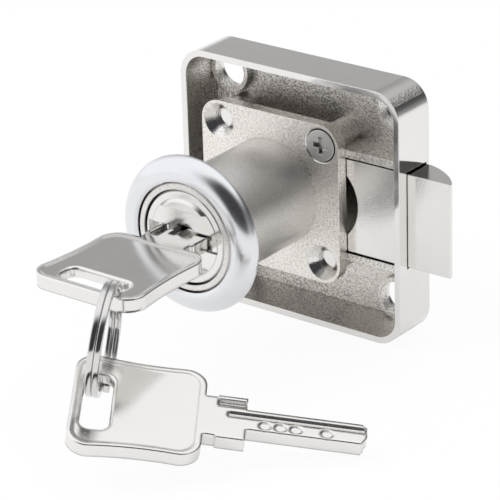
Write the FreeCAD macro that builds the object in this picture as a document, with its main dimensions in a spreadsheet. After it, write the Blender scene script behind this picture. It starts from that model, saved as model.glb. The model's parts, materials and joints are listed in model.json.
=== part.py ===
import FreeCAD, Part

import math
import os

import Sketcher

# Drawer lock with a spring latch, a dimple key in the cylinder and a spare key on a split ring.
# Frame: the origin is on the cylinder's axis where the lock's rim meets the back of the drawer front.
# +X is the way the latch points, +Y goes into the drawer, +Z is up. Millimetres.

SIZES = {
    # case: a square tray, open towards the drawer front
    "case_width": 45.0,
    "case_height": 45.0,
    "case_depth": 9.0,
    "case_corner": 4.8,
    "case_wall": 1.1,
    "case_draft": 4.0,
    "case_floor": 1.1,
    "case_back_round": 0.5,
    "case_offset": 4.0,
    # screw holes in the case's corners
    "hole_pitch": 34.2,
    "hole_dia": 6.2,
    "hole_boss_dia": 7.8,
    "hole_boss_rise": 1.4,
    # latch bolt and its channel
    "bolt_height": 16.6,
    "bolt_throw": 8.4,
    "bolt_back_clear": 0.1,
    "bolt_tip": 0.7,
    "bolt_bevel_start": 1.2,
    "bolt_bevel_crown": 0.55,
    "bolt_cutout_dia": 15.0,
    "bolt_cutout_gap": 9.0,
    "bolt_shoulder": 2.0,
    "bolt_tail_end": 7.8,
    "slide_clear": 0.15,
    "channel_clear": 0.35,
    "rib_thick": 1.4,
    "window_pad": 0.8,
    "window_margin": 1.4,
    # cylinder housing
    "plate_side": 28.5,
    "plate_thick": 2.1,
    "plate_corner": 3.7,
    "plate_hole_pitch": 21.2,
    "plate_hole_dia": 3.4,
    "plate_sink": 1.4,
    "barrel_dia": 19.0,
    "barrel_length": 23.6,
    "barrel_lip": 0.3,
    "post_dia": 5.2,
    "screw_thread_dia": 3.0,
    "screw_head_dia": 5.5,
    "screw_rim": 0.2,
    "screw_length": 7.0,
    "cross_width": 0.9,
    "cross_span": 3.0,
    "cross_depth": 1.1,
    "thread_clear": 0.02,
    # plug
    "plug_dia": 12.5,
    "turn_clear": 0.05,
    "flange_clear": 0.18,
    "plug_flange_dia": 16.3,
    "plug_flange_thick": 2.5,
    "plug_proud": 0.4,
    "flange_chamfer": 0.3,
    "face_disc_dia": 13.6,
    "face_step": 0.6,
    "face_chamfer": 0.5,
    "face_band": 9.6,
    "face_band_depth": 0.5,
    "keyway_width": 4.8,
    "keyway_height": 2.6,
    "mouth_left": 7.4,
    "mouth_right": 5.4,
    "mouth_ramp": 1.3,
    "mouth_ramp_depth": 0.9,
    "mouth_height": 3.0,
    "mouth_depth": 1.9,
    "mouth_arch_dia": 5.2,
    "tail_side": 6.0,
    "tail_length": 1.1,
    # pin stacks
    "pin_dia": 1.9,
    "pin_clear": 0.05,
    "pin_pitch": 2.42,
    "pin_first": 2.9,
    "pin_tip": 0.5,
    "driver_length": 1.1,
    "pin_spring_wire": 0.22,
    "pin_spring_clear": 0.05,
    "pin_spring_turns": 3.5,
    "cover_width": 2.8,
    "cover_thick": 0.6,
    # cam on the plug's tail
    "cam_dia": 14.2,
    "cam_thick": 2.6,
    "cam_web": 1.4,
    "cam_pin_dia": 2.4,
    "cam_pin_end": 0.25,
    "cam_slot_clear": 0.35,
    # latch spring
    "spring_clear": 0.15,
    "spring_wire": 0.35,
    "spring_turns": 11.0,
    "spring_drop": 5.0,
    "spring_length": 13.6,
    "peg_width": 1.5,
    # rosette round the barrel
    "rosette_dia": 27.2,
    "rosette_thick": 2.8,
    "rosette_edge": 0.5,
    "rosette_crown": 1.6,
    "rosette_clear": 0.15,
    "rosette_seat": 2.4,
    "rosette_hollow": 1.3,
    "rosette_rim": 1.2,
    # keys
    "key_thick": 2.4,
    "bow_length": 20.8,
    "bow_width": 21.3,
    "bow_taper": 0.6,
    "bow_hollow": 0.4,
    "bow_corner": 3.4,
    "bow_rim": 0.8,
    "bow_rim_far": 1.1,
    "bow_rim_corner": 2.6,
    "bow_recess": 0.2,
    "slot_edge": 0.4,
    "key_bar": 1.8,
    "key_slot_width": 4.5,
    "key_slot_length": 12.8,
    "key_slot_corner": 1.6,
    "tab_width": 9.8,
    "tab_length": 4.6,
    "neck_length": 2.0,
    "neck_width": 9.0,
    "blade_width": 4.5,
    "blade_gap": 1.75,
    "blade_bevel": 1.6,
    "groove_width": 1.2,
    "groove_depth": 0.5,
    "groove_edge": 0.8,
    "groove_run_in": 3.0,
    "tab_groove_width": 1.6,
    "tab_groove_depth": 0.8,
    "tab_groove_edge": 0.8,
    "dimple_dia": 1.9,
    "dimple_depth": 0.4,
    "key_seat": 0.7,
    # split ring and the spare key's hang
    "ring_dia": 17.4,
    "ring_wire_wide": 1.0,
    "ring_wire_deep": 1.2,
    "ring_turn_gap": 0.05,
    "ring_start": 90.0,
    "ring_along_bar": 5.8,
    "ring_yaw": 29.8,
    "ring_tilt": 7.8,
    "ring_forward": 3.2,
    "ring_drop": 5.2,
    "spare_back": 1.3,
    "spare_drop": 6.2,
    "spare_side": 0.1,
    "spare_yaw": 35.7,
    "spare_dip": 9.1,
    "spare_roll": 14.1,
}

doc = FreeCAD.newDocument("drawer_lock")
sheet = doc.addObject("Spreadsheet::Sheet", "size")
for row, (alias, number) in enumerate(SIZES.items(), start=1):
    sheet.set(f"A{row}", alias.replace("_", " "))
    sheet.set(f"B{row}", str(number))
    sheet.setAlias(f"B{row}", alias)
doc.recompute()

# places that several pieces share, each from the sheet's values
CASE_LEFT = "(size.case_offset - size.case_width / 2)"
CASE_RIGHT = "(size.case_offset + size.case_width / 2)"
FLOOR = "(size.case_depth - size.case_floor)"
BOLT_FRONT = "(size.plate_thick + size.slide_clear)"
BOLT_BACK = f"({FLOOR} - size.bolt_back_clear)"
BOLT_TIP = f"({CASE_RIGHT} + size.bolt_throw)"
CHANNEL = "(size.bolt_height / 2 + size.channel_clear)"
PLATE_HOLE = "(size.plate_hole_pitch / 2)"
BARREL_END = "(-size.barrel_length)"
FACE = "(-size.barrel_length - size.plug_proud)"
TAB_END = "(size.bow_length + size.neck_length + size.tab_length)"
KEY_STOP = f"({FACE} + size.face_band_depth + size.key_seat)"
KEY_START = f"({KEY_STOP} - {TAB_END})"
PIN_START = f"({KEY_START} + {TAB_END} + size.pin_first)"
CAM_FRONT = "(size.plate_thick + size.slide_clear)"
CAM_BACK = f"({CAM_FRONT} + size.cam_thick)"
CAM_ARM = "(size.bolt_throw / 2)"
TAIL_FRONT = f"({CAM_BACK} + size.slide_clear)"
BLADE = f"({CAM_BACK} - size.screw_length - size.blade_gap - {KEY_STOP})"
CUTOUT_X = "size.bolt_cutout_gap"
PEG_RIGHT = f"({CUTOUT_X} - size.spring_length)"
SPRING_Y = f"(({TAIL_FRONT} + {FLOOR}) / 2)"
SPRING_DIA = f"({FLOOR} - {TAIL_FRONT} - 2 * size.spring_clear)"
CHAMBER_DIA = "(size.pin_dia + 2 * size.pin_clear)"
BORE_DIA = "(size.plug_dia + 2 * size.turn_clear)"


def value(expression):
    """The number that an expression on the sheet's aliases gives."""
    return float(sheet.evalExpression(str(expression)))


def make_body(label):
    body = doc.addObject("PartDesign::Body", label)
    body.Label = label
    return body


def make_sketch(body, name, plane, offset="0"):
    """A sketch on one of the body's own origin planes, moved along the plane's normal by an expression."""
    sketch = body.newObject("Sketcher::SketchObject", name)
    role = f"{plane}_Plane"
    support = [f for f in body.Origin.OriginFeatures if f.Role == role][0]
    sketch.AttachmentSupport = [(support, "")]
    sketch.MapMode = "FlatFace"
    if offset != "0":
        sketch.setExpression("AttachmentOffset.Base.z", f"({offset}) * 1mm")
    return sketch


def bind(sketch, kind, *args):
    """Adds a constraint whose last argument is an expression, and binds it to the sheet."""
    expression = args[-1]
    index = sketch.addConstraint(Sketcher.Constraint(kind, *args[:-1], value(expression)))
    sketch.setExpression(f"Constraints[{index}]", str(expression))


def arc_through(start, middle, end):
    """The counterclockwise arc through three points, and whether it begins at the first of them."""
    centre = Part.Arc(start, middle, end).toShape().Edges[0].Curve.Center
    turns = [math.atan2(p.y - centre.y, p.x - centre.x) for p in (start, middle, end)]
    forward = (turns[1] - turns[0]) % math.tau < (turns[2] - turns[0]) % math.tau
    low, high = (turns[0], turns[2]) if forward else (turns[2], turns[0])
    circle = Part.Circle(centre, FreeCAD.Vector(0, 0, 1), centre.distanceToPoint(start))
    return Part.ArcOfCircle(circle, low, low + (high - low) % math.tau), forward


def outline(sketch, points, bulges=None):
    """A closed outline through points given as expressions. bulges gives, by edge, a point on its arc."""
    bulges = bulges or {}
    spots = [FreeCAD.Vector(value(x), value(y), 0) for x, y in points]
    count = len(points)
    first = sketch.GeometryCount
    ends = []
    for k in range(count):
        here, there = spots[k], spots[(k + 1) % count]
        if k in bulges:
            middle = FreeCAD.Vector(value(bulges[k][0]), value(bulges[k][1]), 0)
            arc, forward = arc_through(here, middle, there)
            sketch.addGeometry(arc)
            ends.append((1, 2) if forward else (2, 1))
        else:
            sketch.addGeometry(Part.LineSegment(here, there))
            ends.append((1, 2))
    for k in range(count):
        after = (k + 1) % count
        joint = ("Coincident", first + k, ends[k][1], first + after, ends[after][0])
        sketch.addConstraint(Sketcher.Constraint(*joint))
    for k, (x, y) in enumerate(points):
        bind(sketch, "DistanceX", -1, 1, first + k, ends[k][0], x)
        bind(sketch, "DistanceY", -1, 1, first + k, ends[k][0], y)
    for k, (x, y) in bulges.items():
        spot = sketch.addGeometry(Part.Point(FreeCAD.Vector(value(x), value(y), 0)), True)
        sketch.addConstraint(Sketcher.Constraint("PointOnObject", spot, 1, first + k))
        bind(sketch, "DistanceX", -1, 1, spot, 1, x)
        bind(sketch, "DistanceY", -1, 1, spot, 1, y)


def box_outline(sketch, x0, x1, y0, y1):
    outline(sketch, [(x0, y0), (x1, y0), (x1, y1), (x0, y1)])


def rounded_box(sketch, x0, x1, y0, y1, radius):
    """A rectangle with rounded corners. Each arc passes 0.29289 of its radius inside the square corner."""
    inset = f"({radius}) * (1 - 0.70710678)"
    points = []
    bulges = {}
    for (cx, sx), (cy, sy), x_first in (((x1, "-"), (y0, "+"), True), ((x1, "-"), (y1, "-"), False),
                                        ((x0, "+"), (y1, "-"), True), ((x0, "+"), (y0, "+"), False)):
        along_x = (f"{cx} {sx} ({radius})", cy)
        along_z = (cx, f"{cy} {sy} ({radius})")
        bulges[len(points)] = (f"{cx} {sx} {inset}", f"{cy} {sy} {inset}")
        points += [along_x, along_z] if x_first else [along_z, along_x]
    outline(sketch, points, bulges)


def disc(sketch, x, y, diameter):
    """A circle whose centre and diameter are expressions."""
    centre = FreeCAD.Vector(value(x), value(y), 0)
    circle = Part.Circle(centre, FreeCAD.Vector(0, 0, 1), value(diameter) / 2)
    index = sketch.addGeometry(circle)
    bind(sketch, "Diameter", index, diameter)
    bind(sketch, "DistanceX", -1, 1, index, 3, x)
    bind(sketch, "DistanceY", -1, 1, index, 3, y)


def four_discs(sketch, centre_x, half_pitch, diameter):
    for side_x in ("-", "+"):
        for side_y in ("-", "+"):
            disc(sketch, f"{centre_x} {side_x} {half_pitch}", f"0 {side_y} {half_pitch}", diameter)


def feature(body, kind, name, sketch, length, reverse=False, both=False, taper=None):
    """A pad or pocket along the sketch's normal, or against it when reversed. The volume has to change."""
    doc.recompute()
    before = body.Shape.Volume if not body.Shape.isNull() else 0.0
    step = body.newObject(f"PartDesign::{kind}", name)
    step.Profile = sketch
    step.Reversed = reverse if kind == "Pad" else not reverse
    step.Midplane = both
    step.setExpression("Length", f"({length}) * 1mm")
    if taper:
        step.setExpression("TaperAngle", taper)
    doc.recompute()
    change = body.Shape.Volume - before
    if abs(change) < 1e-4 or (change < 0) != (kind == "Pocket"):
        raise ValueError(f"{name} changed the volume by {change}")
    return step


def pad(body, name, sketch, length, **options):
    return feature(body, "Pad", name, sketch, length, **options)


def pocket(body, name, sketch, length, **options):
    return feature(body, "Pocket", name, sketch, length, **options)


def dress(body, kind, name, size, chosen):
    """A fillet or chamfer on the body's edges that the test picks."""
    doc.recompute()
    tip = body.Tip
    names = [f"Edge{k}" for k, edge in enumerate(tip.Shape.Edges, start=1) if chosen(edge)]
    if not names:
        raise ValueError(f"{name} found no edge")
    step = body.newObject(f"PartDesign::{kind}", name)
    step.Base = (tip, names)
    step.setExpression("Radius" if kind == "Fillet" else "Size", f"({size}) * 1mm")
    doc.recompute()
    return step


def along_y(edge):
    ends = [v.Point for v in edge.Vertexes]
    return len(ends) == 2 and abs(ends[0].x - ends[1].x) < 1e-6 and abs(ends[0].z - ends[1].z) < 1e-6


def near(a, b):
    return abs(a - b) < 1e-4


def round_edge(edge, y, diameter):
    """True for a full circle of this diameter, square to Y, at this y."""
    curve = edge.Curve
    if not isinstance(curve, Part.Circle) or not near(curve.Radius, value(diameter) / 2):
        return False
    return near(edge.CenterOfMass.y, value(y)) and near(abs(curve.Axis.y), 1)


def revolve(body, name, sketch, axis):
    doc.recompute()
    step = body.newObject("PartDesign::Revolution", name)
    step.Profile = sketch
    line = [f for f in body.Origin.OriginFeatures if f.Role == f"{axis}_Axis"][0]
    step.ReferenceAxis = (line, [""])
    step.Angle = 360
    doc.recompute()
    return step


# case: tray, corner bosses, posts for the cylinder plate, latch channel and spring peg
def make_case():
    body = make_body("lock_case")
    half_high = "size.case_height / 2"
    skin = make_sketch(body, "case_outline", "XZ")
    box_outline(skin, CASE_LEFT, CASE_RIGHT, f"-{half_high}", half_high)
    pad(body, "case_block", skin, "size.case_depth", reverse=True)
    dress(body, "Fillet", "case_corners", "size.case_corner", along_y)
    back = value("size.case_depth")
    dress(body, "Fillet", "case_back_edges", "size.case_back_round",
          lambda e: near(e.BoundBox.YMin, back) and near(e.BoundBox.YMax, back))
    inner = make_sketch(body, "tray_outline", "XZ")
    rounded_box(inner, f"{CASE_LEFT} + size.case_wall", f"{CASE_RIGHT} - size.case_wall",
                f"-{half_high} + size.case_wall", f"{half_high} - size.case_wall",
                "size.case_corner - size.case_wall")
    pocket(body, "tray", inner, FLOOR, reverse=True, taper="-size.case_draft")
    pads = make_sketch(body, "window_pads", "XZ", f"-{BOLT_FRONT} + size.slide_clear")
    wall = f"{CASE_RIGHT} - size.case_wall"
    reach = "(size.bolt_height / 2 + size.window_margin)"
    box_outline(pads, f"{wall} - size.window_pad - size.case_floor / 2", f"{CASE_RIGHT} - size.case_wall / 2",
                f"-{reach}", reach)
    pad(body, "window_thickening", pads, f"{FLOOR} - size.plate_thick + size.case_floor / 2", reverse=True)

    ribs = make_sketch(body, "channel_ribs", "XZ", f"-{BOLT_FRONT} + size.slide_clear")
    start = f"{PLATE_HOLE}"
    for low, high in ((CHANNEL, f"{CHANNEL} + size.rib_thick"), (f"-{CHANNEL} - size.rib_thick", f"-{CHANNEL}")):
        box_outline(ribs, start, wall, low, high)
    pad(body, "ribs", ribs, f"{FLOOR} - size.plate_thick + size.case_floor / 2", reverse=True)

    bosses = make_sketch(body, "boss_circles", "XZ", f"-size.case_depth + size.case_floor / 2")
    four_discs(bosses, "size.case_offset", "size.hole_pitch / 2", "size.hole_boss_dia")
    pad(body, "corner_bosses", bosses, "size.hole_boss_rise + size.case_floor / 2")
    posts = make_sketch(body, "post_circles", "XZ", f"-size.case_depth + size.case_floor / 2")
    four_discs(posts, "0", PLATE_HOLE, "size.post_dia")
    pad(body, "plate_posts", posts, "size.case_depth - size.case_floor / 2 - size.plate_thick")
    channel = make_sketch(body, "channel_outline", "XZ", "-size.plate_thick + 1")
    box_outline(channel, f"-{PLATE_HOLE} - size.post_dia", f"{PLATE_HOLE} + size.post_dia", f"-{CHANNEL}", CHANNEL)
    pocket(body, "post_flats", channel, f"1 + {FLOOR} - size.plate_thick", reverse=True)
    peg = make_sketch(body, "peg_outline", "XZ", f"-size.case_depth + size.case_floor / 2")
    box_outline(peg, f"{PEG_RIGHT} - size.peg_width", PEG_RIGHT,
                f"-size.spring_drop - {SPRING_DIA} / 2", f"-size.spring_drop + {SPRING_DIA} / 2")
    pad(body, "spring_peg", peg, f"size.case_depth - size.case_floor / 2 - {CAM_BACK} - 2 * size.slide_clear")

    window = make_sketch(body, "window_outline", "YZ", f"{CASE_RIGHT} + 1")
    box_outline(window, "size.plate_thick", FLOOR, f"-{CHANNEL}", CHANNEL)
    pocket(body, "latch_window", window, "size.case_wall + size.window_pad + size.case_floor + 3", reverse=True)
    holes = make_sketch(body, "corner_hole_circles", "XZ", "-size.case_depth - 1")
    four_discs(holes, "size.case_offset", "size.hole_pitch / 2", "size.hole_dia")
    pocket(body, "corner_holes", holes, "size.case_floor + size.hole_boss_rise + 4")
    taps = make_sketch(body, "tapped_hole_circles", "XZ", "-size.plate_thick + 1")
    for side in ("", "-"):
        disc(taps, f"{side}{PLATE_HOLE}", f"{side}{PLATE_HOLE}", "size.screw_thread_dia + 2 * size.thread_clear")
    pocket(body, "tapped_holes", taps, "size.screw_length - size.plate_thick + 1.5", reverse=True)
    return body


# cylinder housing: square plate, barrel, plug bore, pin chambers and the slot of their cover
def make_housing():
    body = make_body("cylinder_housing")
    half = "size.plate_side / 2"
    plate = make_sketch(body, "plate_outline", "XZ")
    box_outline(plate, f"-{half}", half, f"-{half}", half)
    pad(body, "plate", plate, "size.plate_thick", reverse=True)
    dress(body, "Fillet", "plate_corners", "size.plate_corner", along_y)
    tube = make_sketch(body, "barrel_circle", "XZ")
    disc(tube, "0", "0", "size.barrel_dia")
    pad(body, "barrel", tube, "size.barrel_length")
    dress(body, "Chamfer", "barrel_lip", "size.barrel_lip",
          lambda e: round_edge(e, BARREL_END, "size.barrel_dia"))
    bore = make_sketch(body, "bore_circle", "XZ", "-size.plate_thick - 1")
    disc(bore, "0", "0", BORE_DIA)
    pocket(body, "plug_bore", bore, "size.barrel_length + size.plate_thick + 2")
    seat = make_sketch(body, "seat_circle", "XZ", "size.barrel_length + 1")
    disc(seat, "0", "0", "size.plug_flange_dia + 2 * size.flange_clear")
    seat_depth = "1 + size.plug_flange_thick - size.plug_proud + size.turn_clear"
    pocket(body, "flange_seat", seat, seat_depth, reverse=True)
    holes = make_sketch(body, "plate_hole_circles", "XZ", "1")
    four_discs(holes, "0", PLATE_HOLE, "size.plate_hole_dia")
    pocket(body, "plate_holes", holes, "size.plate_thick + 2", reverse=True)
    dress(body, "Chamfer", "plate_sinks", "size.plate_sink", lambda e: round_edge(e, "0", "size.plate_hole_dia"))
    slot = make_sketch(body, "cover_slot_outline", "XY", "-size.barrel_dia / 2 - 1")
    half_cover = "(size.cover_width / 2 + size.pin_clear)"
    box_outline(slot, f"-{half_cover}", half_cover, f"{PIN_START} - size.pin_pitch / 2",
                f"{PIN_START} + 4.5 * size.pin_pitch")
    pocket(body, "cover_slot", slot, "size.cover_thick + 1")
    chamber = make_sketch(body, "chamber_circle", "XY")
    disc(chamber, "0", PIN_START, CHAMBER_DIA)
    first = pocket(body, "pin_chamber", chamber, "size.barrel_dia / 2 + 1", reverse=True)
    row_of_five(body, first, "pin_chambers")
    return body


def row_of_five(body, first, name):
    """Repeats a pin chamber at the five pin places."""
    row = body.newObject("PartDesign::LinearPattern", name)
    row.Originals = [first]
    line = [f for f in body.Origin.OriginFeatures if f.Role == "Y_Axis"][0]
    row.Direction = (line, [""])
    row.setExpression("Length", "4 * size.pin_pitch * 1mm")
    row.Occurrences = 5
    body.Tip = row
    doc.recompute()
    return row


# plug: flange with the key's mouth, keyway, pin chambers and a square tail for the cam
def make_plug():
    body = make_body("plug")
    rim = f"({FACE} + size.face_step)"
    ring = make_sketch(body, "flange_circle", "XZ", f"-{rim}")
    disc(ring, "0", "0", "size.plug_flange_dia")
    pad(body, "flange", ring, "size.plug_flange_thick - size.face_step", reverse=True)
    dress(body, "Chamfer", "flange_edge", "size.flange_chamfer", lambda e: round_edge(e, rim, "size.plug_flange_dia"))
    face = make_sketch(body, "face_circle", "XZ", f"-{FACE}")
    disc(face, "0", "0", "size.face_disc_dia")
    pad(body, "face_disc", face, "2 * size.face_step", reverse=True)
    dress(body, "Chamfer", "face_edge", "size.face_chamfer", lambda e: round_edge(e, FACE, "size.face_disc_dia"))
    core = make_sketch(body, "core_circle", "XZ", f"-{FACE} - size.plug_flange_thick / 2")
    disc(core, "0", "0", "size.plug_dia")
    pad(body, "core", core, f"-{FACE} - size.plug_flange_thick / 2 + {CAM_FRONT}", reverse=True)
    tail = make_sketch(body, "tail_outline", "XZ", f"-{CAM_FRONT} + 1")
    half = "size.tail_side / 2"
    box_outline(tail, f"-{half}", half, f"-{half}", half)
    pad(body, "tail", tail, "1 + size.tail_length", reverse=True)
    band = make_sketch(body, "band_outline", "XZ", f"-{FACE} + 1")
    box_outline(band, "-size.plug_flange_dia", "size.plug_flange_dia", "-size.face_band / 2", "size.face_band / 2")
    pocket(body, "face_band", band, "1 + size.face_band_depth", reverse=True)
    mouth = make_sketch(body, "mouth_outline", "XZ", f"-{FACE} + 1")
    half = "size.mouth_height / 2"
    box_outline(mouth, "-size.mouth_left", "size.mouth_right", f"-{half}", half)
    pocket(body, "mouth", mouth, "1 + size.mouth_depth", reverse=True)
    ramp = make_sketch(body, "mouth_ramp_outline", "XZ", f"-{FACE} + 1")
    box_outline(ramp, "size.mouth_right - 1", "size.mouth_right + size.mouth_ramp", f"-{half}", half)
    pocket(body, "mouth_ramp", ramp, "1 + size.mouth_ramp_depth", reverse=True)
    arch = make_sketch(body, "arch_circle", "XZ", f"-{FACE} + 1")
    disc(arch, "0", "0", "size.mouth_arch_dia")
    pocket(body, "mouth_arch", arch, "1 + size.mouth_depth", reverse=True)
    keyway = make_sketch(body, "keyway_outline", "XZ", f"-{FACE} + 1")
    box_outline(keyway, "-size.keyway_width / 2", "size.keyway_width / 2", "-size.keyway_height / 2",
                "size.keyway_height / 2")
    pocket(body, "keyway", keyway, f"1 - {FACE} + {KEY_STOP} + {BLADE} + size.key_seat", reverse=True)
    chamber = make_sketch(body, "plug_chamber_circle", "XY")
    disc(chamber, "0", PIN_START, CHAMBER_DIA)
    first = pocket(body, "plug_chamber", chamber, "size.barrel_dia / 2", reverse=True)
    row_of_five(body, first, "plug_chambers")
    tap = make_sketch(body, "cam_tap_circle", "XZ", f"-{CAM_FRONT} - size.tail_length - 1")
    disc(tap, "0", "0", "size.screw_thread_dia + 2 * size.thread_clear")
    pocket(body, "cam_tap", tap, "1 + size.screw_length - size.cam_web + 0.5", reverse=False)
    return body


# cam: disc on the plug's square tail, with the pin that draws the latch back
def make_cam():
    body = make_body("cam")
    plate = make_sketch(body, "cam_circle", "XZ", f"-{CAM_FRONT}")
    disc(plate, "0", "0", "size.cam_dia")
    pad(body, "cam_disc", plate, "size.cam_thick", reverse=True)
    socket = make_sketch(body, "socket_outline", "XZ", f"-{CAM_FRONT} + 1")
    half = "(size.tail_side / 2 + size.thread_clear)"
    box_outline(socket, f"-{half}", half, f"-{half}", half)
    pocket(body, "tail_socket", socket, "1 + size.cam_thick - size.cam_web", reverse=True)
    hole = make_sketch(body, "cam_hole_circle", "XZ", f"-{CAM_BACK} - 1")
    disc(hole, "0", "0", "size.plate_hole_dia")
    pocket(body, "cam_hole", hole, "size.cam_thick", reverse=False)
    sink = "(size.screw_head_dia - size.plate_hole_dia) / 2 + size.screw_rim + size.thread_clear"
    dress(body, "Chamfer", "cam_sink", sink,
          lambda e: round_edge(e, CAM_BACK, "size.plate_hole_dia"))
    pin = make_sketch(body, "cam_pin_circle", "XZ", f"-{CAM_BACK} + size.cam_web / 2")
    disc(pin, CAM_ARM, CAM_ARM, "size.cam_pin_dia")
    pad(body, "cam_pin", pin, f"size.cam_web / 2 + {FLOOR} - {CAM_BACK} - size.cam_pin_end", reverse=True)
    return body


# latch bolt: head with a curved back, round cutout for the cam, thin tail with the cam slot and spring window
def make_bolt():
    body = make_body("latch_bolt")
    plan = make_sketch(body, "bolt_plan", "XY")
    bevel = f"{CASE_RIGHT} + size.bolt_bevel_start"
    middle_x = f"({bevel} + {BOLT_TIP}) / 2 + size.bolt_bevel_crown"
    middle_y = f"({BOLT_BACK} + {BOLT_FRONT} + size.bolt_tip) / 2 + size.bolt_bevel_crown"
    corners = [
        ("-size.bolt_tail_end", BOLT_FRONT),
        (BOLT_TIP, BOLT_FRONT),
        (BOLT_TIP, f"{BOLT_FRONT} + size.bolt_tip"),
        (bevel, BOLT_BACK),
        ("-size.bolt_tail_end", BOLT_BACK),
    ]
    outline(plan, corners, {2: (middle_x, middle_y)})
    pad(body, "bolt_bar", plan, "size.bolt_height", both=True)
    step = make_sketch(body, "tail_step_outline", "XZ", f"-{BOLT_FRONT} + 1")
    box_outline(step, "-size.bolt_tail_end - 1", f"{CUTOUT_X} + size.bolt_shoulder", "-size.bolt_height",
                "size.bolt_height")
    pocket(body, "tail_step", step, f"1 + {TAIL_FRONT} - {BOLT_FRONT}", reverse=True)
    ring = make_sketch(body, "cutout_circle", "XZ", f"-{BOLT_FRONT} + 1")
    disc(ring, CUTOUT_X, "0", "size.bolt_cutout_dia")
    pocket(body, "cam_cutout", ring, f"1 + {TAIL_FRONT} - {BOLT_FRONT}", reverse=True)
    slot = make_sketch(body, "cam_slot_outline", "XZ", f"-{BOLT_BACK} - 1")
    side = "(size.cam_pin_dia / 2 + size.cam_slot_clear)"
    top = "size.bolt_throw * 0.7071 + size.cam_pin_dia / 2 + size.cam_slot_clear"
    box_outline(slot, f"{CAM_ARM} - {side}", f"{CAM_ARM} + {side}", f"{CAM_ARM} - {side} - size.cam_slot_clear", top)
    pocket(body, "cam_slot", slot, f"2 + {BOLT_BACK} - {TAIL_FRONT}", reverse=False)
    window = make_sketch(body, "spring_window_outline", "XZ", f"-{BOLT_BACK} - 1")
    high = f"({SPRING_DIA} / 2 + size.slide_clear)"
    box_outline(window, f"{PEG_RIGHT} - size.peg_width - size.slide_clear", CUTOUT_X,
                f"-size.spring_drop - {high}", f"-size.spring_drop + {high}")
    pocket(body, "spring_window", window, f"2 + {BOLT_BACK} - {TAIL_FRONT}", reverse=False)
    return body


# pins: one revolved piece each, standing in the chambers below the key
def make_pin(label, index, low, high, tip):
    body = make_body(label)
    half = make_sketch(body, f"{label}_half", "XZ")
    radius = "size.pin_dia / 2"
    points = [("0", low), (radius, low), (radius, f"{high} - {tip}"), (f"{radius} - {tip}", high), ("0", high)]
    outline(half, points)
    revolve(body, f"{label}_turned", half, "Z")
    body.setExpression("Placement.Base.y", f"({PIN_START} + {index} * size.pin_pitch) * 1mm")
    doc.recompute()
    return body


def make_pins():
    pieces = []
    shear = "size.plug_dia / 2"
    seat = "size.barrel_dia / 2 - size.cover_thick"
    for index in range(5):
        inner_top = "-size.key_thick / 2 - size.pin_clear"
        inner_low = f"-{shear} + 2 * size.turn_clear + size.pin_clear"
        pieces.append(make_pin(f"key_pin_{index + 1}", index, inner_low, inner_top, "size.pin_tip"))
        driver_top = f"-{shear} - 2 * size.turn_clear"
        driver_low = f"{driver_top} - size.driver_length"
        pieces.append(make_pin(f"driver_pin_{index + 1}", index, driver_low, driver_top, "0.15"))
        bottom = value(f"-({seat})") + value("size.pin_clear")
        top = value(driver_low) - value("size.pin_clear")
        wire = value("size.pin_spring_wire")
        coil = helix_wire(value("size.pin_dia / 2 - size.pin_spring_clear") - wire / 2, top - bottom - wire,
                          value("size.pin_spring_turns"), wire)
        y = value(f"{PIN_START} + {index} * size.pin_pitch")
        place = FreeCAD.Placement(FreeCAD.Vector(0, y, bottom + wire / 2), FreeCAD.Rotation())
        pieces.append(make_feature(f"pin_spring_{index + 1}", coil, place))
    return pieces


def helix_wire(radius, rise, turns, wire):
    """A wire of eight flats swept along a helix about Z."""
    path = Part.makeHelix(rise / turns, rise, radius)
    start = path.Edges[0].valueAt(path.Edges[0].FirstParameter)
    tangent = path.Edges[0].tangentAt(path.Edges[0].FirstParameter)
    around = Part.Circle(start, tangent, wire / 2)
    corners = [around.value(k * math.tau / 8) for k in range(8)]
    return sweep(path, Part.makePolygon(corners + corners[:1]))


def sweep(path, section):
    pipe = Part.BRepOffsetAPI.MakePipeShell(Part.Wire(path.Edges))
    pipe.setFrenetMode(True)
    pipe.add(Part.Wire(section.Edges))
    pipe.build()
    pipe.makeSolid()
    return pipe.shape()


def make_feature(label, shape, place):
    """A piece whose shape is set by Part's own functions, then placed."""
    piece = doc.addObject("Part::Feature", label)
    piece.Label = label
    piece.Shape = shape
    piece.Placement = place
    return piece


# cover: curved strip that closes the pin chambers under the barrel
def make_cover():
    block = doc.addObject("Part::Box", "cover_block")
    block.setExpression("Length", "size.cover_width * 1mm")
    block.setExpression("Width", "(5 * size.pin_pitch - 2 * size.pin_clear) * 1mm")
    block.setExpression("Height", "size.cover_thick * 1mm")
    block.setExpression("Placement.Base.x", "-size.cover_width / 2 * 1mm")
    block.setExpression("Placement.Base.y", f"({PIN_START} - size.pin_pitch / 2 + size.pin_clear) * 1mm")
    block.setExpression("Placement.Base.z", "-size.barrel_dia / 2 * 1mm")
    skin = doc.addObject("Part::Cylinder", "cover_skin")
    skin.setExpression("Radius", "size.barrel_dia / 2 * 1mm")
    skin.setExpression("Height", "size.barrel_length * 1mm")
    skin.Placement = FreeCAD.Placement(FreeCAD.Vector(), FreeCAD.Rotation(FreeCAD.Vector(1, 0, 0), 90))
    cover = doc.addObject("Part::Common", "pin_cover")
    cover.Label = "pin_cover"
    cover.Base = block
    cover.Tool = skin
    return cover


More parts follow.
